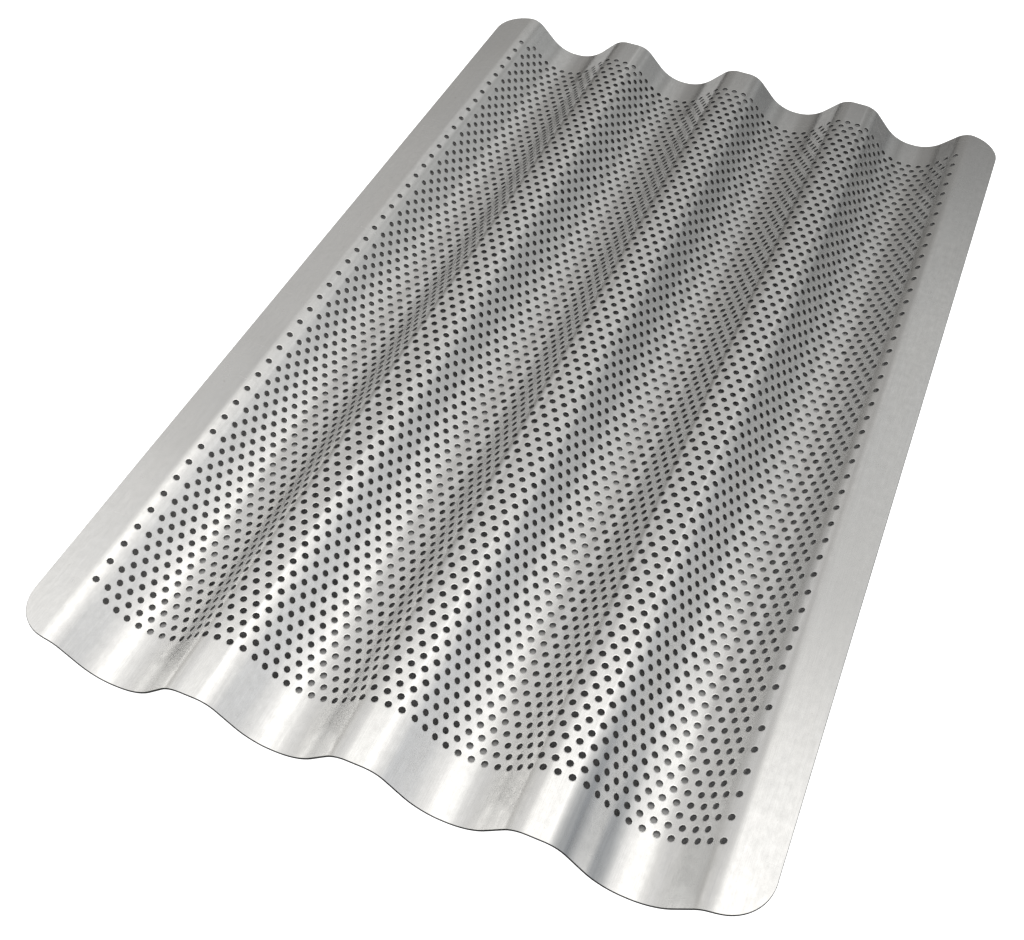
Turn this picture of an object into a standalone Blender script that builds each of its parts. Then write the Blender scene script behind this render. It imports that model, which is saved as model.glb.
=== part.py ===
"""Baguette tray: one sheet of aluminium, pressed into four channels between two flat side flanges.

Metres, +Z up. The channels run along Y. The origin lies on the surface that the tray stands on, under
its centre. The real sheet is perforated all over its channels with thousands of 3 mm holes; this solid
leaves them out and keeps the sheet's outline, gauge and pressed shape.
"""

import math

import bmesh
import bpy

# Driving dimensions of the sheet.
TRAY_WIDTH = 0.325
TRAY_LENGTH = 0.530
SHEET_GAUGE = 0.001
CORNER_RADIUS = 0.020  # in plan, at each of the four corners

# Driving dimensions of the pressed wave, all on the sheet's middle surface.
CHANNEL_COUNT = 4
CHANNEL_PITCH = 0.075
CHANNEL_DEPTH = 0.0178
CREST_FLAT = 0.007
CREST_RADIUS = 0.013
TROUGH_RADIUS = 0.024
FLANK_ANGLE = math.radians(44.5)

# How finely the bends are divided into flat strips.
CREST_STEPS = 12
TROUGH_STEPS = 16
CORNER_STEPS = 12

# Worked out from the driving dimensions.
BEND_RISE = (CREST_RADIUS + TROUGH_RADIUS) * (1 - math.cos(FLANK_ANGLE))
FLANK_LENGTH = (CHANNEL_DEPTH - BEND_RISE) / math.sin(FLANK_ANGLE)
CREST_END = CREST_FLAT / 2 + CREST_RADIUS * math.sin(FLANK_ANGLE)
TROUGH_START = CREST_END + FLANK_LENGTH * math.cos(FLANK_ANGLE)
TROUGH_FLAT_START = TROUGH_START + TROUGH_RADIUS * math.sin(FLANK_ANGLE)
CREST_LEVEL = CHANNEL_DEPTH + SHEET_GAUGE / 2
OUTER_CREST = CHANNEL_PITCH * CHANNEL_COUNT / 2
FLANGE_START = OUTER_CREST - CREST_FLAT / 2


def clear_scene():
    for obj in list(bpy.data.objects):
        bpy.data.objects.remove(obj, do_unlink=True)


def drop_from_crest(across):
    """How far the middle surface lies below the crest, at this distance from a crest's centre line."""
    if across <= CREST_FLAT / 2:
        return 0.0
    if across <= CREST_END:
        run = across - CREST_FLAT / 2
        return CREST_RADIUS - math.sqrt(CREST_RADIUS**2 - run**2)
    if across <= TROUGH_START:
        crest_drop = CREST_RADIUS * (1 - math.cos(FLANK_ANGLE))
        return crest_drop + (across - CREST_END) * math.tan(FLANK_ANGLE)
    if across <= TROUGH_FLAT_START:
        run = TROUGH_FLAT_START - across
        return CHANNEL_DEPTH - TROUGH_RADIUS + math.sqrt(TROUGH_RADIUS**2 - run**2)
    return CHANNEL_DEPTH


def bend_lines():
    """Distances from a crest's centre line at which one side of the wave changes direction."""
    crest = [
        CREST_FLAT / 2 + CREST_RADIUS * math.sin(FLANK_ANGLE * step / CREST_STEPS)
        for step in range(CREST_STEPS + 1)
    ]
    trough = [
        TROUGH_FLAT_START - TROUGH_RADIUS * math.sin(FLANK_ANGLE * step / TROUGH_STEPS)
        for step in range(TROUGH_STEPS, -1, -1)
    ]
    return crest + trough


def wave_lines():
    """(x, z) of each bend line between the two flanges, from left to right."""
    lines = []
    for channel in range(CHANNEL_COUNT):
        left_crest = channel * CHANNEL_PITCH - OUTER_CREST
        right_crest = left_crest + CHANNEL_PITCH
        down = [(left_crest + across, CREST_LEVEL - drop_from_crest(across)) for across in bend_lines()]
        up = [(right_crest - across, CREST_LEVEL - drop_from_crest(across)) for across in bend_lines()]
        lines += down + up[::-1]
    return lines


def flange_lines():
    """x of the lines across one flange, closer together where the corner's arc turns faster."""
    arc_centre = TRAY_WIDTH / 2 - CORNER_RADIUS
    first = math.asin((FLANGE_START - arc_centre) / CORNER_RADIUS)
    turns = [first + (math.pi / 2 - first) * step / CORNER_STEPS for step in range(CORNER_STEPS + 1)]
    return [arc_centre + CORNER_RADIUS * math.sin(turn) for turn in turns]


def half_length(x):
    """Half of the sheet's length at this x, shortened by the rounded corners near its sides."""
    into_corner = max(0.0, abs(x) - (TRAY_WIDTH / 2 - CORNER_RADIUS))
    inset = CORNER_RADIUS - math.sqrt(max(0.0, CORNER_RADIUS**2 - into_corner**2))
    return TRAY_LENGTH / 2 - inset


def make_sheet():
    """The middle surface as strips between bend lines, thickened to the sheet's gauge."""
    right_flange = [(x, CREST_LEVEL) for x in flange_lines()]
    left_flange = [(-x, z) for x, z in reversed(right_flange)]
    lines = left_flange + wave_lines()[1:-1] + right_flange

    shape = bmesh.new()
    front = [shape.verts.new((x, -half_length(x), z)) for x, z in lines]
    back = [shape.verts.new((x, half_length(x), z)) for x, z in lines]
    for left in range(len(lines) - 1):
        right = left + 1
        shape.faces.new((front[left], front[right], back[right], back[left]))
    bmesh.ops.recalc_face_normals(shape, faces=shape.faces)

    mesh = bpy.data.meshes.new("tray_sheet")
    shape.to_mesh(mesh)
    shape.free()
    sheet = bpy.data.objects.new("tray_sheet", mesh)
    bpy.context.scene.collection.objects.link(sheet)

    thicken = sheet.modifiers.new("gauge", "SOLIDIFY")
    thicken.thickness = SHEET_GAUGE
    thicken.offset = 0.0
    thicken.use_even_offset = True
    mesh.shade_smooth()
    return sheet


def aluminium():
    """Bare satin aluminium, as it leaves the press."""
    material = bpy.data.materials.new("satin_aluminium")
    material.use_nodes = True
    shader = material.node_tree.nodes["Principled BSDF"]
    shader.inputs["Base Color"].default_value = (0.73, 0.73, 0.72, 1.0)
    shader.inputs["Metallic"].default_value = 1.0
    shader.inputs["Roughness"].default_value = 0.38
    return material


clear_scene()
tray = make_sheet()
tray.data.materials.append(aluminium())
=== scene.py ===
"""Looks of the baguette tray: the perforated, pressed sheet as real geometry, its metal, and a pale studio.

Metres, +Z up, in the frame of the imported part. The sheet is laid out flat first, as the press receives
it: `across` is the distance along the metal from the centre crest and `along` is the distance along the
channels. Bending that blank to the wave gives the tray.
"""

import math

import bpy
import numpy as np
from mathutils.geometry import delaunay_2d_cdt
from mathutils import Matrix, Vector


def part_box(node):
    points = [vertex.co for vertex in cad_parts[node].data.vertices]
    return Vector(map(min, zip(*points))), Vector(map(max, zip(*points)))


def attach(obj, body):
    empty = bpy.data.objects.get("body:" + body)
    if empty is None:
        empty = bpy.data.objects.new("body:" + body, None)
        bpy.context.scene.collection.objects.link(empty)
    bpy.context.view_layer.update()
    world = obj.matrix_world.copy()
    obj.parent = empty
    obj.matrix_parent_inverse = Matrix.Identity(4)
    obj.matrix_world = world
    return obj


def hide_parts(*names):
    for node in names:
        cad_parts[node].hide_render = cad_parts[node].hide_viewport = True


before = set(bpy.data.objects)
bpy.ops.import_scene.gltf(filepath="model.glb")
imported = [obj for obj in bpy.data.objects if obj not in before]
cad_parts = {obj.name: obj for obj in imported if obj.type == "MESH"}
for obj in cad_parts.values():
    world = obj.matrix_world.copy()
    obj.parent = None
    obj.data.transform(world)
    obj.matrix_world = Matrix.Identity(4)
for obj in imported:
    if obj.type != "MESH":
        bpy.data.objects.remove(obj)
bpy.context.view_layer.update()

# The pressed wave, on the sheet's middle surface.
GAUGE = 0.001
CHANNEL_COUNT = 4
CHANNEL_PITCH = 0.075
CREST_FLAT = 0.007
CREST_RADIUS = 0.013
TROUGH_RADIUS = 0.024
FLANK_ANGLE = math.radians(44.5)
CORNER_RADIUS = 0.020
low_corner, high_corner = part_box("tray_sheet")
TRAY_WIDTH = high_corner[0] - low_corner[0]
TRAY_LENGTH = high_corner[1] - low_corner[1]
CHANNEL_DEPTH = high_corner[2] - low_corner[2] - GAUGE
CREST_LEVEL = high_corner[2] - GAUGE / 2

# The perforation: rows across the channels, shifted by turns to the right and to the left, so that each
# row's holes lie between those of the next. It isn't quite in the middle of the sheet.
HOLE_DIAMETER = 0.003
HOLE_SIDES = 8
HOLE_PITCH = 0.006
ROW_PITCH = HOLE_PITCH * math.sqrt(3) / 2
ROW_COUNT = 93
HOLES_PER_ROW = 54
ROW_STAGGER = 0.75 * HOLE_PITCH
PATTERN_ACROSS = -0.0012
PATTERN_ALONG = 0.0026

# The sheet has sprung a little out of true: bowed across the channels and twisted end to end, about a
# middle that stands a little high.
BOW = -0.0016
TWIST = -0.0018
LIFT = 0.0007

# Its metal is slack besides, in long waves: height, turns across and along in radians a metre, and phase.
SLACK_WAVES = (
    (0.00005, 23.0, 31.0, 0.4),
    (0.00004, 41.0, 17.0, 2.1),
    (0.00003, 67.0, 47.0, 4.4),
    (0.00003, 95.0, 29.0, 1.3),
    (0.00002, 140.0, 71.0, 5.2),
)

# How finely the wave is worked out, and how far to each side of a place its slope is taken from.
STATION_COUNT = 40001
SLOPE_REACH = 0.00005

# How finely the plain margins are divided, and the narrow rounding between a face and the cut edge.
EDGE_STEP = 0.0015
SIDE_STEP = 0.0052
CORNER_STEPS = 20
EDGE_ROUNDING = 0.0002

# Where extra points lie on the margins: shares of the way from an end to the nearest row of holes, and
# distances past the start of a flange, at the ends, on the left side and on the right.
END_SHARES = (0.12, 0.38, 0.62, 0.84)
END_OFFSETS = (-0.0022, 0.0, 0.0022, 0.006, 0.0105)
LEFT_OFFSETS = (0.0, 0.0022, 0.006)
RIGHT_OFFSETS = (-0.0045, -0.0022, 0.0, 0.0022, 0.006)


# ---------------------------------------------------------------- the wave

def wave_lengths():
    """Distances along the metal, from a crest's centre, at which its bends start and end."""
    bend_rise = (CREST_RADIUS + TROUGH_RADIUS) * (1 - math.cos(FLANK_ANGLE))
    flank = (CHANNEL_DEPTH - bend_rise) / math.sin(FLANK_ANGLE)
    bend_reach = (CREST_RADIUS + TROUGH_RADIUS) * math.sin(FLANK_ANGLE)
    trough_flat = CHANNEL_PITCH / 2 - CREST_FLAT / 2 - bend_reach - flank * math.cos(FLANK_ANGLE)
    crest_start = CREST_FLAT / 2
    crest_end = crest_start + CREST_RADIUS * FLANK_ANGLE
    trough_start = crest_end + flank
    trough_end = trough_start + TROUGH_RADIUS * FLANK_ANGLE
    return crest_start, crest_end, trough_start, trough_end, trough_end + trough_flat


BENDS = wave_lengths()
HALF_WAVE = BENDS[-1]
OUTER_CREST = CHANNEL_COUNT * HALF_WAVE
EDGE_ACROSS = OUTER_CREST + TRAY_WIDTH / 2 - CHANNEL_PITCH * CHANNEL_COUNT / 2


def tilt_at(across):
    """Slope of the metal in radians, positive where it runs down towards +X."""
    from_crest = (across + HALF_WAVE) % (2 * HALF_WAVE) - HALF_WAVE
    tilt = np.interp(np.abs(from_crest), BENDS[:4], (0.0, FLANK_ANGLE, FLANK_ANGLE, 0.0))
    return np.where(np.abs(across) > OUTER_CREST, 0.0, np.sign(from_crest) * tilt)


def integrate_wave():
    """x and z of the middle surface at close stations across the blank, from its slope."""
    stations = np.linspace(-EDGE_ACROSS, EDGE_ACROSS, STATION_COUNT)
    middles = (stations[1:] + stations[:-1]) / 2
    steps = np.diff(stations)
    tilt = tilt_at(middles)
    x = np.concatenate([[0.0], np.cumsum(np.cos(tilt) * steps)])
    z = np.concatenate([[0.0], np.cumsum(-np.sin(tilt) * steps)])
    return stations, x - x[-1] / 2, z + CREST_LEVEL


STATIONS, STATION_X, STATION_Z = integrate_wave()


def slack(across, along):
    """How far the worked metal stands off the true wave, which is under 0.2 mm anywhere."""
    off = np.zeros_like(across)
    for height, turns_across, turns_along, phase in SLACK_WAVES:
        off += height * np.sin(turns_across * across + phase) * np.cos(turns_along * along - 2 * phase)
    return off


def warp(x, y):
    """How far the sheet's bow, twist and lift raise it at a place."""
    share_x, share_y = x / (TRAY_WIDTH / 2), y / (TRAY_LENGTH / 2)
    return BOW * share_x**2 + TWIST * share_x * share_y + LIFT


def middle_surface(across, along):
    """Points of the sheet's middle surface, in space, for places on the blank."""
    x = np.interp(across, STATIONS, STATION_X)
    z = np.interp(across, STATIONS, STATION_Z) + slack(across, along) + warp(x, along)
    return np.stack([x, along, z], axis=1)


def normals_of(across, along):
    """Unit normals of the upper face, from the slopes of the surface itself."""
    over = middle_surface(across + SLOPE_REACH, along) - middle_surface(across - SLOPE_REACH, along)
    up = middle_surface(across, along + SLOPE_REACH) - middle_surface(across, along - SLOPE_REACH)
    normal = np.cross(over, up)
    return normal / np.linalg.norm(normal, axis=1, keepdims=True)


def turned_to_space(directions, across):
    """Directions on the flat blank, as they point once the metal there is bent to its slope."""
    tilt = tilt_at(across)
    return np.stack(
        [directions[:, 0] * np.cos(tilt), directions[:, 1], -directions[:, 0] * np.sin(tilt)], axis=1
    )


# ---------------------------------------------------------------- the blank

def hole_centres():
    """The middle of every hole on the blank, row by row."""
    centres = []
    for row in range(ROW_COUNT):
        along = (row - (ROW_COUNT - 1) / 2) * ROW_PITCH + PATTERN_ALONG
        stagger = ROW_STAGGER if row % 2 == 0 else -ROW_STAGGER
        for hole in range(HOLES_PER_ROW):
            across = (hole - (HOLES_PER_ROW - 1) / 2) * HOLE_PITCH + stagger + PATTERN_ACROSS
            centres.append((across, along))
    return np.array(centres)


def hole_directions():
    """The directions in which a hole's corners lie from its middle."""
    turns = (np.arange(HOLE_SIDES) + 0.5) * 2 * math.pi / HOLE_SIDES
    return np.stack([np.cos(turns), np.sin(turns)], axis=1)


def hole_corners(centres):
    """Corners of each hole's polygon, which has the area of the round hole."""
    share_of_circle = HOLE_SIDES / 2 * math.sin(2 * math.pi / HOLE_SIDES) / math.pi
    radius = HOLE_DIAMETER / 2 / math.sqrt(share_of_circle)
    return (centres[:, None, :] + radius * hole_directions()[None]).reshape(-1, 2)


def outline(inset):
    """The blank's edge, anticlockwise and drawn in by inset, and the direction in which it faces."""
    half_width, half_length = TRAY_WIDTH / 2, TRAY_LENGTH / 2
    arc_x, arc_y = half_width - CORNER_RADIUS, half_length - CORNER_RADIUS
    arc_across = np.interp(arc_x, STATION_X, STATIONS)
    end_across = np.linspace(-arc_across, arc_across, int(2 * arc_across / EDGE_STEP) + 1)[1:-1]
    side_along = np.linspace(-arc_y, arc_y, int(2 * arc_y / SIDE_STEP) + 1)[1:-1]
    rim = []
    quarter = np.linspace(0, math.pi / 2, CORNER_STEPS + 1)
    for corner, (sign_x, sign_y) in enumerate(((1, -1), (1, 1), (-1, 1), (-1, -1))):
        for turn in quarter if corner in (0, 2) else quarter[::-1]:
            out_x, out_y = sign_x * math.sin(turn), sign_y * math.cos(turn)
            reach = CORNER_RADIUS - inset
            x, y = sign_x * arc_x + reach * out_x, sign_y * arc_y + reach * out_y
            rim.append((np.interp(x, STATION_X, STATIONS), y, out_x, out_y))
        if corner == 0:
            rim += [(EDGE_ACROSS - inset, y, 1.0, 0.0) for y in side_along]
        elif corner == 1:
            rim += [(s, half_length - inset, 0.0, 1.0) for s in end_across[::-1]]
        elif corner == 2:
            rim += [(inset - EDGE_ACROSS, y, -1.0, 0.0) for y in side_along[::-1]]
        else:
            rim += [(s, inset - half_length, 0.0, -1.0) for s in end_across]
    rim = np.array(rim)
    return rim[:, :2], rim[:, 2:]


def margin_points(centres):
    """Points inside the blank that let its plain margins follow the bends."""
    first_row, last_row = centres[:, 1].min(), centres[:, 1].max()
    arc_across = np.interp(TRAY_WIDTH / 2 - CORNER_RADIUS, STATION_X, STATIONS)
    columns = np.arange(-arc_across, arc_across, EDGE_STEP)
    flange_start = OUTER_CREST - CREST_FLAT / 2
    points = []
    for start, end in ((-TRAY_LENGTH / 2, first_row), (TRAY_LENGTH / 2, last_row)):
        for share in END_SHARES:
            along = start + (end - start) * share
            points += [(s, along) for s in columns]
            past_arc = max(abs(along) - TRAY_LENGTH / 2 + CORNER_RADIUS, 0.0)
            for across in flange_start + np.array(END_OFFSETS):
                if math.hypot(across - arc_across, past_arc) < CORNER_RADIUS - EDGE_STEP:
                    points += [(-across, along), (across, along)]
    side_along = np.arange(first_row, last_row + SIDE_STEP, SIDE_STEP)
    for sign, offsets in ((-1, LEFT_OFFSETS), (1, RIGHT_OFFSETS)):
        for offset in offsets:
            points += [(sign * (flange_start + offset), along) for along in side_along]
    return np.array(points)


def cut_blank(centres):
    """The blank's points and triangles, the index of its rim's first point, and how many the rim has.

    The corners of the holes come first, in the order of the holes, and the rim follows them."""
    holes = hole_corners(centres)
    rim, _ = outline(EDGE_ROUNDING)
    points = np.concatenate([holes, rim, margin_points(centres)])
    starts = np.arange(len(centres)) * HOLE_SIDES
    edges = [
        (start + side, start + (side + 1) % HOLE_SIDES) for start in starts for side in range(HOLE_SIDES)
    ]
    edges += [(len(holes) + k, len(holes) + (k + 1) % len(rim)) for k in range(len(rim))]
    _, _, faces, given_points, *_ = delaunay_2d_cdt(points.tolist(), edges, [], 1, 1e-8, True)
    order = np.array([given[0] for given in given_points])
    if len(order) != len(points):
        raise ValueError("two points of the blank coincide")
    triangles = order[np.array(faces)]
    hole_of = np.where(triangles < len(holes), triangles // HOLE_SIDES, -1 - triangles)
    inside_hole = (hole_of[:, 0] == hole_of[:, 1]) & (hole_of[:, 1] == hole_of[:, 2])
    triangles = triangles[~inside_hole]
    first, second, third = (points[triangles[:, k]] for k in range(3))
    turn = np.cross(second - first, third - first)
    triangles[turn < 0] = triangles[turn < 0][:, ::-1]
    return points, triangles, len(holes), len(rim)


# ---------------------------------------------------------------- the sheet

def band(first, second, here, following):
    """Four-sided faces between two rows of points, whose indices start at first and second."""
    return np.stack([first + here, second + here, second + following, first + following], axis=1)


def band_normals(first, second, following):
    """The normals at such faces' corners, from the normals along each of the two rows."""
    return np.stack([first, second, second[following], first[following]], axis=1).reshape(-1, 3)


def make_sheet():
    """The tray: both faces of the sheet, the walls of its holes, and its cut edge, rounded to the faces."""
    centres = hole_centres()
    blank, triangles, rim_start, rim_count = cut_blank(centres)
    across, along = blank[:, 0], blank[:, 1]
    surface, normal = middle_surface(across, along), normals_of(across, along)

    edge_blank, edge_out = outline(0.0)
    edge_surface = middle_surface(edge_blank[:, 0], edge_blank[:, 1])
    edge_normal = normals_of(edge_blank[:, 0], edge_blank[:, 1])
    edge_facing = turned_to_space(edge_out, edge_blank[:, 0])
    wall_half = GAUGE / 2 - EDGE_ROUNDING
    points = np.concatenate([
        surface + normal * GAUGE / 2,
        surface - normal * GAUGE / 2,
        edge_surface + edge_normal * wall_half,
        edge_surface - edge_normal * wall_half,
    ])

    lower_start = len(blank)
    wall_top = 2 * len(blank)
    wall_bottom = wall_top + rim_count
    corner = np.arange(rim_start)
    hole_start = corner - corner % HOLE_SIDES
    next_corner = hole_start + (corner - hole_start + 1) % HOLE_SIDES
    hole_walls = np.stack([corner, next_corner, next_corner + lower_start, corner + lower_start], axis=1)
    here = np.arange(rim_count)
    following = (here + 1) % rim_count
    rim_walls = np.concatenate([
        band(rim_start, wall_top, here, following),
        band(wall_top, wall_bottom, here, following),
        band(wall_bottom, rim_start + lower_start, here, following),
    ])

    mesh = bpy.data.meshes.new("perforated_sheet")
    flat_faces = np.concatenate([triangles, triangles[:, ::-1] + lower_start])
    walls = np.concatenate([hole_walls, rim_walls])
    mesh.from_pydata(points.tolist(), [], flat_faces.tolist() + walls.tolist())
    kinds = np.repeat([0, 1, 2], [len(flat_faces), len(hole_walls), len(rim_walls)])
    mesh.polygons.foreach_set("material_index", kinds.astype(np.int32))
    mesh.shade_smooth()

    outward = np.tile(hole_directions(), (len(centres), 1))
    hole_facing = -turned_to_space(outward, across[:rim_start])
    rim_normal = normal[rim_start:rim_start + rim_count]
    corner_normals = np.concatenate([
        normal[triangles].reshape(-1, 3),
        -normal[triangles[:, ::-1]].reshape(-1, 3),
        hole_facing[hole_walls % lower_start].reshape(-1, 3),
        band_normals(rim_normal, edge_facing, following),
        band_normals(edge_facing, edge_facing, following),
        band_normals(edge_facing, -rim_normal, following),
    ])
    mesh.normals_split_custom_set(corner_normals.tolist())

    blank_place = np.concatenate([blank, blank, edge_blank, edge_blank])
    layer = mesh.uv_layers.new(name="blank")
    point_of = np.empty(len(mesh.loops), np.int32)
    mesh.loops.foreach_get("vertex_index", point_of)
    layer.uv.foreach_set("vector", blank_place[point_of].astype(np.float32).ravel())

    sheet = bpy.data.objects.new("perforated_sheet", mesh)
    bpy.context.scene.collection.objects.link(sheet)
    return sheet


# ---------------------------------------------------------------- materials

# Colours of the sheet's metal: its two ground tones, and what each mark takes it towards.
TINTS = {
    "cool": (0.835, 0.843, 0.853, 1),
    "warm": (0.875, 0.862, 0.840, 1),
    "clouded": (0.82, 0.82, 0.815, 1),
    "streaked": (0.89, 0.89, 0.885, 1),
    "mottled": (0.70, 0.70, 0.695, 1),
    "grained": (0.66, 0.66, 0.66, 1),
    "specked": (0.42, 0.38, 0.34, 1),
    "scratched": (0.95, 0.95, 0.95, 1),
    # A painted highlight: the burnished line's colour is lightened towards this.
    "painted_highlight": (0.97, 0.97, 0.965, 1),
    "darkened": (0.25, 0.265, 0.28, 1),
}

# Hairline scratches lie in three directions: each one's turn, and its shift through the noise.
HAIRLINES = ((0.12, 0.3), (-0.35, 5.1), (1.1, 8.2))

# Darker grey marks at the front of the fourth channel's left flank: centre and reach on the blank, and
# strength.
DARK_FLANK_MARKS = (
    ((0.0975, -0.262), (0.0075, 0.095), 0.95),
    ((0.1160, -0.262), (0.0070, 0.075), 0.90),
    ((0.1070, -0.235), (0.0170, 0.130), 0.30),
)

# The press has burnished a line to the right of each crest between channels; it is raised a little, and its
# colour is lightened as a painted highlight: distance from the crest, half-width, and height.
BURNISH_AND_PAINTED_HIGHLIGHT_PLACE = 0.0053
BURNISH_AND_PAINTED_HIGHLIGHT_HALF_WIDTH = 0.0012
BURNISH_HEIGHT = 0.000012

# It has left a crease to the left of each crest too, at the front only: as above, and where along the
# channels the crease starts to fade and is gone.
CREASE_PLACE = -0.0085
CREASE_HALF_WIDTH = 0.0020
CREASE_HEIGHT = 0.000018
CREASE_FADE = (-0.236, -0.190)

# The face dips at the lip of each hole, and its grain, streaks and scratches stand out or in a little.
LIP_DEPTH = 0.00003
LIP_WIDTH = 0.0004
GRAIN_HEIGHT = 0.0000007
STREAK_HEIGHT = 0.000025
SCRATCH_DEPTH = 0.000004

# White paper: its darkest and lightest fibre, and the grey of the painted shade laid on it beneath the
# crests, whole up to the first distance from the crest's line and gone at the second.
PAPER_TINTS = ((0.62, 0.62, 0.62, 1), (0.68, 0.68, 0.68, 1))
PAINTED_SHADE_TINT = (0.32, 0.32, 0.325, 1)
PAINTED_SHADE_FADE = (0.019, 0.031)


class Nodes:
    """A short way to write a material's nodes."""

    def __init__(self, name):
        self.material = bpy.data.materials.new(name)
        self.material.use_nodes = True
        self.tree = self.material.node_tree
        self.shader = self.tree.nodes["Principled BSDF"]

    def add(self, kind, inputs=None, **settings):
        node = self.tree.nodes.new(kind)
        for key, value in settings.items():
            setattr(node, key, value)
        for key, value in (inputs or {}).items():
            self.feed(node.inputs[key], value)
        return node

    def feed(self, socket, value):
        if isinstance(value, bpy.types.NodeSocket):
            self.tree.links.new(value, socket)
        else:
            socket.default_value = value

    def calc(self, operation, *values):
        node = self.add("ShaderNodeMath", operation=operation)
        for socket, value in zip(node.inputs, values):
            self.feed(socket, value)
        return node.outputs[0]

    def vector(self, operation, *values):
        node = self.add("ShaderNodeVectorMath", operation=operation)
        for socket, value in zip(node.inputs, values):
            self.feed(socket, value)
        return node.outputs["Value" if operation == "LENGTH" else "Vector"]

    def noise(self, place, scale, detail, roughness, turn=0.0, shift=0.0):
        """Noise about as fine as scale, in features a metre along each axis. Its turn is in radians."""
        mapping = self.add(
            "ShaderNodeMapping",
            {"Vector": place, "Location": (shift, shift, 0), "Rotation": (0, 0, turn), "Scale": scale},
        )
        texture = {"Vector": mapping.outputs[0], "Scale": 1.0, "Detail": detail, "Roughness": roughness}
        return self.add("ShaderNodeTexNoise", texture).outputs["Fac"]

    def between(self, value, low, high, start=0.0, end=1.0, smooth=False):
        """Takes value from start..end to low..high, and holds it there."""
        limits = {"Value": value, "From Min": start, "From Max": end, "To Min": low, "To Max": high}
        kind = "SMOOTHSTEP" if smooth else "LINEAR"
        return self.add("ShaderNodeMapRange", limits, interpolation_type=kind).outputs[0]

    def mix(self, share, first, second):
        node = self.add("ShaderNodeMix", data_type="RGBA")
        for socket, value in ((node.inputs[0], share), (node.inputs[6], first), (node.inputs[7], second)):
            self.feed(socket, value)
        return node.outputs[2]

    def spot(self, place, centre, reach):
        """1 at centre on the blank, falling softly to 0 at reach across and along."""
        off = self.vector("SUBTRACT", place, (*centre, 0))
        off = self.vector("DIVIDE", off, (*reach, 1))
        return self.between(self.vector("LENGTH", off), 1.0, 0.0, 0.2, 1.0, smooth=True)

    def ridge(self, value, place, half_width, height=1.0):
        """height where value is at place, falling softly to 0 at half_width either side."""
        off = self.calc("ABSOLUTE", self.calc("SUBTRACT", value, place))
        return self.between(off, height, 0.0, 0.0, half_width, smooth=True)


def hole_distance(n, place):
    """Distance on the blank to the centre of the nearest hole, from the two interleaved sets of rows."""
    rows = (ROW_COUNT - 1) / 2 * ROW_PITCH
    reach = (HOLES_PER_ROW - 1) / 2 * HOLE_PITCH
    found = []
    for first_row, last_row, stagger in ((-rows, rows, 1), (ROW_PITCH - rows, rows - ROW_PITCH, -1)):
        centre = (PATTERN_ACROSS + stagger * ROW_STAGGER, PATTERN_ALONG, 0)
        corner = (centre[0] - reach, PATTERN_ALONG + first_row, 0)
        half_cell = (HOLE_PITCH / 2, ROW_PITCH, 0)
        from_corner = n.vector("SUBTRACT", place, corner)
        cell = n.vector("WRAP", from_corner, half_cell, [-side for side in half_cell])
        off = n.vector("ABSOLUTE", n.vector("SUBTRACT", place, centre))
        beyond = n.vector("MAXIMUM", n.vector("SUBTRACT", off, (reach, last_row, 0)), (0, 0, 0))
        found.append(n.calc("MAXIMUM", n.vector("LENGTH", cell), n.vector("LENGTH", beyond)))
    return n.calc("MINIMUM", *found)


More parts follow.
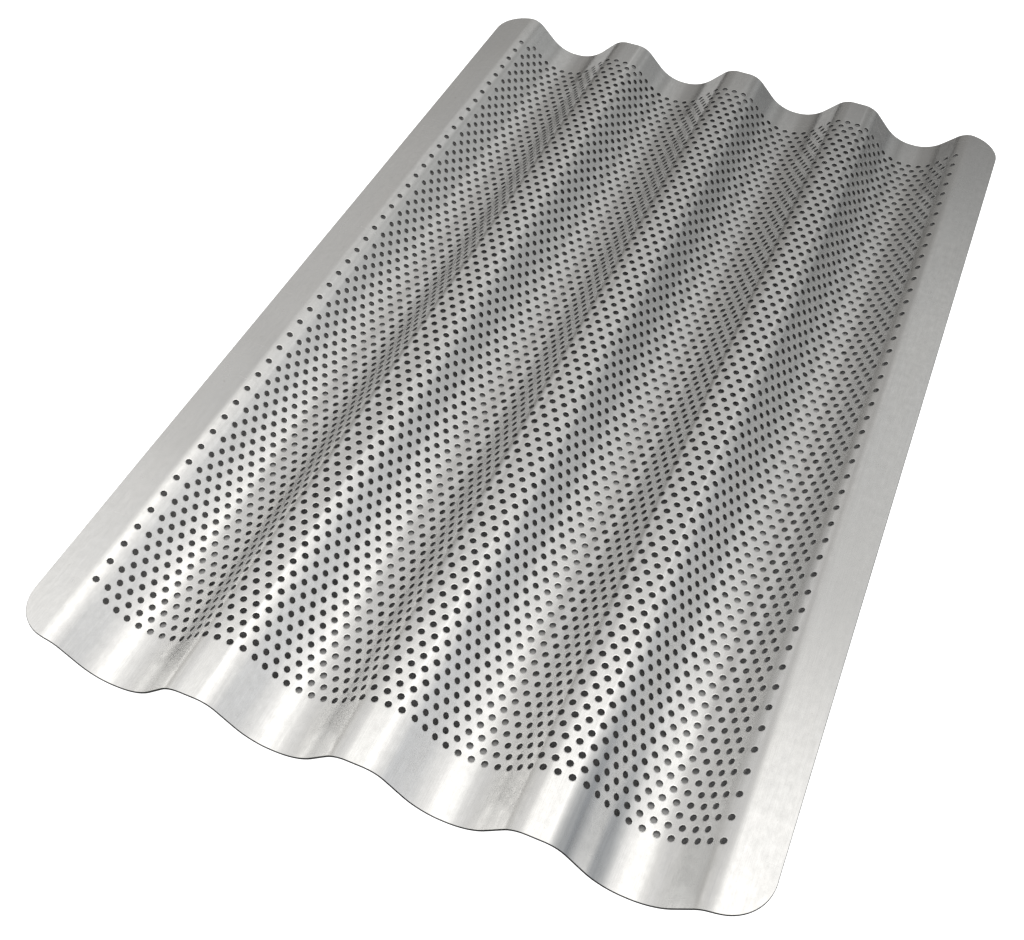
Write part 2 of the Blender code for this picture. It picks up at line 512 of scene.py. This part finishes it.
def sheet_metal():
    """Mill-finished aluminium: rolling grain along the channels, cloudy blotches, scratches and marks."""
    n = Nodes("satin_aluminium")
    place = n.add("ShaderNodeUVMap", uv_map="blank").outputs[0]
    parts = n.add("ShaderNodeSeparateXYZ", {"Vector": place})
    across, along = parts.outputs["X"], parts.outputs["Y"]

    clouds = n.noise(place, (34, 24, 1), 5.0, 0.6)
    warmth = n.noise(place, (60, 14, 1), 3.0, 0.5, shift=3.7)
    mottle = n.noise(place, (330, 210, 1), 4.0, 0.65, shift=7.3)
    grain = n.noise(place, (2400, 45, 1), 3.0, 0.65)
    streaks = n.noise(place, (420, 7, 1), 2.0, 0.5, shift=1.9)
    hairlines = []
    for turn, shift in HAIRLINES:
        line = n.between(n.noise(place, (26, 2600, 1), 1.0, 0.5, turn, shift), 0.0, 1.0, 0.735, 0.77)
        patch = n.between(n.noise(place, (11, 11, 1), 1.0, 0.5, 0.0, shift + 1.0), 0.0, 1.0, 0.5, 0.62)
        hairlines.append(n.calc("MULTIPLY", line, patch))
    scratches = n.calc("MAXIMUM", n.calc("MAXIMUM", hairlines[0], hairlines[1]), hairlines[2])
    specks = n.between(n.noise(place, (420, 300, 1), 2.0, 0.6, shift=6.6), 0.0, 1.0, 0.735, 0.79)

    tint = n.mix(warmth, TINTS["cool"], TINTS["warm"])
    for cover, most, start, end, colour in (
        (clouds, 0.50, 0.30, 0.70, "clouded"),
        (streaks, 0.35, 0.35, 0.75, "streaked"),
        (mottle, 0.50, 0.35, 0.68, "mottled"),
        (grain, 0.30, 0.40, 0.70, "grained"),
    ):
        tint = n.mix(n.between(cover, 0.0, most, start, end), tint, TINTS[colour])
    tint = n.mix(n.calc("MULTIPLY", specks, 0.45), tint, TINTS["specked"])
    tint = n.mix(n.calc("MULTIPLY", scratches, 0.35), tint, TINTS["scratched"])
    from_crest = n.calc("WRAP", across, HALF_WAVE, -HALF_WAVE)
    # The burnished line is raised in the relief below, and its colour is lightened as a painted highlight.
    burnish_and_painted_highlight = n.ridge(from_crest, BURNISH_AND_PAINTED_HIGHLIGHT_PLACE, BURNISH_AND_PAINTED_HIGHLIGHT_HALF_WIDTH)
    between_flanges = n.calc("LESS_THAN", n.calc("ABSOLUTE", across), OUTER_CREST - CREST_RADIUS)
    burnish_and_painted_highlight = n.calc("MULTIPLY", burnish_and_painted_highlight, between_flanges)
    burnish_and_painted_highlight = n.calc("MULTIPLY", burnish_and_painted_highlight, n.between(streaks, 0.2, 0.8, 0.35, 0.65))
    tint = n.mix(burnish_and_painted_highlight, tint, TINTS["painted_highlight"])
    # The fourth channel's left flank is darkened in grey marks at its front.
    for centre, reach, strength in DARK_FLANK_MARKS:
        broken = n.between(streaks, 0.5 * strength, strength)
        tint = n.mix(n.calc("MULTIPLY", n.spot(place, centre, reach), broken), tint, TINTS["darkened"])
    n.feed(n.shader.inputs["Base Color"], tint)
    n.shader.inputs["Metallic"].default_value = 1.0

    rough = n.calc("ADD", n.between(clouds, 0.20, 0.26, 0.3, 0.7), n.between(grain, -0.03, 0.03))
    rough = n.calc("ADD", rough, n.between(mottle, -0.03, 0.04, 0.3, 0.7))
    rough = n.calc("ADD", rough, n.calc("MULTIPLY", scratches, 0.12))
    n.feed(n.shader.inputs["Roughness"], rough)
    n.shader.inputs["Anisotropic"].default_value = 0.55
    rolled = n.add("ShaderNodeTangent", direction_type="UV_MAP", uv_map="blank").outputs[0]
    n.feed(n.shader.inputs["Tangent"], rolled)

    hole_edge = HOLE_DIAMETER / 2
    lip = n.between(hole_distance(n, place), -LIP_DEPTH, 0.0, hole_edge, hole_edge + LIP_WIDTH)
    crease = n.ridge(from_crest, CREASE_PLACE, CREASE_HALF_WIDTH, CREASE_HEIGHT)
    crease = n.calc("MULTIPLY", crease, n.between(along, 1.0, 0.0, *CREASE_FADE, smooth=True))
    relief = n.calc("ADD", n.calc("ADD", lip, crease), n.calc("MULTIPLY", burnish_and_painted_highlight, BURNISH_HEIGHT))
    relief = n.calc("ADD", relief, n.calc("MULTIPLY", grain, GRAIN_HEIGHT))
    relief = n.calc("ADD", relief, n.calc("MULTIPLY", streaks, STREAK_HEIGHT))
    relief = n.calc("SUBTRACT", relief, n.calc("MULTIPLY", scratches, SCRATCH_DEPTH))
    bump = n.add("ShaderNodeBump", {"Height": relief, "Strength": 1.0, "Distance": 1.0})
    n.feed(n.shader.inputs["Normal"], bump.outputs[0])
    return n.material


def punched_metal():
    """The walls of the holes: scored by the punch, and dull."""
    n = Nodes("punched_wall")
    place = n.add("ShaderNodeTexCoord").outputs["Object"]
    scoring = n.noise(place, (2500, 2500, 300), 2.0, 0.6)
    tint = n.mix(scoring, (0.24, 0.24, 0.24, 1), (0.42, 0.42, 0.415, 1))
    n.feed(n.shader.inputs["Base Color"], tint)
    n.shader.inputs["Metallic"].default_value = 1.0
    n.feed(n.shader.inputs["Roughness"], n.between(scoring, 0.5, 0.65))
    return n.material


def cut_edge_with_painted_shade():
    """The sheared edge of the sheet: torn, dull, paler in patches, and darkened near-black by painted
    shade.
    """
    n = Nodes("cut_edge_painted_shade")
    place = n.add("ShaderNodeTexCoord").outputs["Object"]
    tearing = n.noise(place, (1500, 1500, 1500), 3.0, 0.7)
    patches = n.noise(place, (60, 60, 60), 2.0, 0.5)
    # Painted shade: the edge and its roundings are coloured near-black, darker than dull cut metal alone.
    tint = n.mix(tearing, (0.012, 0.012, 0.013, 1), (0.040, 0.040, 0.041, 1))
    tint = n.mix(n.between(patches, 0.0, 0.6, 0.4, 0.7), tint, (0.10, 0.10, 0.10, 1))
    n.feed(n.shader.inputs["Base Color"], tint)
    n.shader.inputs["Metallic"].default_value = 0.6
    n.feed(n.shader.inputs["Roughness"], n.between(tearing, 0.45, 0.65))
    return n.material


def white_paper(name, glow=0.0, painted_crest_shade=False):
    """Matt white paper. It can glow, and it can carry painted shade: grey strips where the crests stand
    over it.
    """
    n = Nodes(name)
    place = n.add("ShaderNodeTexCoord").outputs["Object"]
    fibre = n.noise(place, (900, 900, 900), 3.0, 0.6)
    tint = n.mix(fibre, *PAPER_TINTS)
    if painted_crest_shade:
        # Painted shade: the paper is greyed in strips under the crests, where the sheet over it would shade
        # it.
        x = n.add("ShaderNodeSeparateXYZ", {"Vector": place}).outputs["X"]
        from_crest = n.calc("ABSOLUTE", n.calc("WRAP", x, CHANNEL_PITCH / 2, -CHANNEL_PITCH / 2))
        painted_shade = n.between(from_crest, 1.0, 0.0, *PAINTED_SHADE_FADE, smooth=True)
        tint = n.mix(painted_shade, tint, PAINTED_SHADE_TINT)
    n.feed(n.shader.inputs["Base Color"], tint)
    n.shader.inputs["Roughness"].default_value = 0.9
    n.shader.inputs["Specular IOR Level"].default_value = 0.1
    n.feed(n.shader.inputs["Emission Color"], tint)
    n.shader.inputs["Emission Strength"].default_value = glow
    return n.material


# ---------------------------------------------------------------- the studio

# The camera: metres, degrees about X, Y and Z, and millimetres.
CAMERA_PLACE = (0.13541, -0.46402, 0.46711)
CAMERA_TURN = (40.782, -1.829, 23.143)
CAMERA_LENS = 45.144
SENSOR_WIDTH = 36.0

# How far the table and the backdrop's floor lie below the part's box, and the backdrop's size and glow. Its
# floor lies over the table, and so hides it.
TABLE_DROP = 0.0036
BACKDROP_DROP = 0.0034
ROOM_REACH = 6.0
ROOM_HEIGHT = 6.0
BACKDROP_GLOW = 1.8

# The paper under the tray: half its width, where it ends along the channels, how far below the troughs it
# lies, and its columns and rows of points. Its far end reaches out behind the crests, by a share of the
# wave's height there, so that paper shows through the last holes too.
MAT_REACH = 0.160
MAT_ENDS = (-0.2475, 0.2645)
MAT_DROP = 0.0004
MAT_GRID = (129, 53)
MAT_OVERREACH = 0.9

# The lamps: azimuth, elevation and spread in degrees, and brightness.
LAMPS = (
    (-90, 20, 36, (0.586, 0.576, 0.552)),
    (-75, 20, 48, (0.221, 0.206, 0.186)),
    (-75, 60, 28, (0.749, 0.747, 0.734)),
    (-60, 28, 28, (0.238, 0.250, 0.262)),
    (-45, 44, 28, (0.144, 0.139, 0.137)),
    (-30, 28, 28, (0.248, 0.244, 0.235)),
    (-30, 76, 28, (0.722, 0.711, 0.679)),
    (0, 52, 28, (0.530, 0.528, 0.518)),
    (30, 36, 28, (0.232, 0.232, 0.226)),
    (30, 76, 28, (0.622, 0.605, 0.588)),
    (45, 20, 28, (0.272, 0.276, 0.274)),
    (60, 52, 28, (0.441, 0.438, 0.431)),
    (75, 4, 36, (0.527, 0.535, 0.550)),
    (75, 44, 36, (0.455, 0.450, 0.442)),
    (180, 28, 82, (0.400, 0.400, 0.396)),
)


def make_camera():
    """The camera, in front of the tray and to its right, looking down on it."""
    lens = bpy.data.cameras.new("camera")
    lens.sensor_fit = "HORIZONTAL"
    lens.sensor_width = SENSOR_WIDTH
    lens.lens = CAMERA_LENS
    camera = bpy.data.objects.new("camera", lens)
    camera.location = CAMERA_PLACE
    camera.rotation_euler = [math.radians(turn) for turn in CAMERA_TURN]
    bpy.context.scene.collection.objects.link(camera)
    bpy.context.scene.camera = camera


def make_room(name, level, height, material):
    """A floor at the given level and, where there is a height, the walls and the ceiling over it."""
    corners = [
        (side_x * ROOM_REACH, side_y * ROOM_REACH, level)
        for side_x, side_y in ((-1, -1), (1, -1), (1, 1), (-1, 1))
    ]
    faces = [(0, 1, 2, 3)]
    if height:
        corners += [(x, y, level + height) for x, y, _ in corners]
        faces += [(0, 4, 5, 1), (1, 5, 6, 2), (2, 6, 7, 3), (3, 7, 4, 0), (4, 7, 6, 5)]
    mesh = bpy.data.meshes.new(name)
    mesh.from_pydata(corners, [], faces)
    mesh.materials.append(material)
    room = bpy.data.objects.new(name, mesh)
    bpy.context.scene.collection.objects.link(room)
    return room


def make_mat(material):
    """A sheet of paper with the tray's own bow and twist, so that every trough is as close to it."""
    columns, rows = MAT_GRID
    x, share = np.meshgrid(np.linspace(-MAT_REACH, MAT_REACH, columns), np.linspace(0, 1, rows))
    front_end, far_end = MAT_ENDS
    wave_height = np.interp(x, STATION_X, STATION_Z) - CREST_LEVEL + CHANNEL_DEPTH
    far_end = far_end + MAT_OVERREACH * wave_height
    y = front_end + share * (far_end - front_end)
    points = np.stack([x, y, warp(x, y) - MAT_DROP], axis=2).reshape(-1, 3)
    corner = (np.arange(rows - 1)[:, None] * columns + np.arange(columns - 1)).ravel()
    faces = np.stack([corner, corner + 1, corner + columns + 1, corner + columns], axis=1)
    mesh = bpy.data.meshes.new("mat")
    mesh.from_pydata(points.tolist(), [], faces.tolist())
    mesh.shade_smooth()
    mesh.materials.append(material)
    mat = bpy.data.objects.new("mat", mesh)
    bpy.context.scene.collection.objects.link(mat)


def make_world():
    """Soft round lamps, far off in the dark. Azimuth 0 is behind the tray and 90 is to its right."""
    world = bpy.data.worlds.new("studio")
    world.use_nodes = True
    bpy.context.scene.world = world
    tree = world.node_tree
    towards = tree.nodes.new("ShaderNodeTexCoord").outputs["Generated"]
    light = None
    for azimuth, elevation, spread, colour in LAMPS:
        turn, rise, width = (math.radians(angle) for angle in (azimuth, elevation, spread))
        facing = tree.nodes.new("ShaderNodeVectorMath")
        facing.operation = "DOT_PRODUCT"
        tree.links.new(towards, facing.inputs[0])
        facing.inputs[1].default_value = (
            math.sin(turn) * math.cos(rise), math.cos(turn) * math.cos(rise), math.sin(rise)
        )
        glow = tree.nodes.new("ShaderNodeMapRange")
        glow.interpolation_type = "SMOOTHSTEP"
        tree.links.new(facing.outputs["Value"], glow.inputs["Value"])
        glow.inputs["From Min"].default_value = math.cos(width)
        glow.inputs["From Max"].default_value = 1.0
        added = tree.nodes.new("ShaderNodeVectorMath")
        added.operation = "MULTIPLY_ADD"
        tree.links.new(glow.outputs[0], added.inputs[0])
        added.inputs[1].default_value = colour
        if light is not None:
            tree.links.new(light, added.inputs[2])
        light = added.outputs[0]
    tree.links.new(light, tree.nodes["Background"].inputs["Color"])


bpy.context.scene.view_settings.view_transform = "Standard"

make_camera()
make_world()
make_room("table", low_corner[2] - TABLE_DROP, 0, white_paper("table_paper"))
# The backdrop is seen directly but sheds no light, so it neither shows in the metal nor lights the holes.
glowing_paper = white_paper("glowing_paper", glow=BACKDROP_GLOW)
backdrop = make_room("backdrop", low_corner[2] - BACKDROP_DROP, ROOM_HEIGHT, glowing_paper)
backdrop.visible_diffuse = backdrop.visible_glossy = backdrop.visible_shadow = False
# The mat's paper carries painted shade, grey under the crests.
make_mat(white_paper("mat_paper_painted_shade", painted_crest_shade=True))

sheet = make_sheet()
for material in (sheet_metal(), punched_metal(), cut_edge_with_painted_shade()):
    sheet.data.materials.append(material)
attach(sheet, "root")
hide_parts("tray_sheet")

bpy.context.view_layer.update()
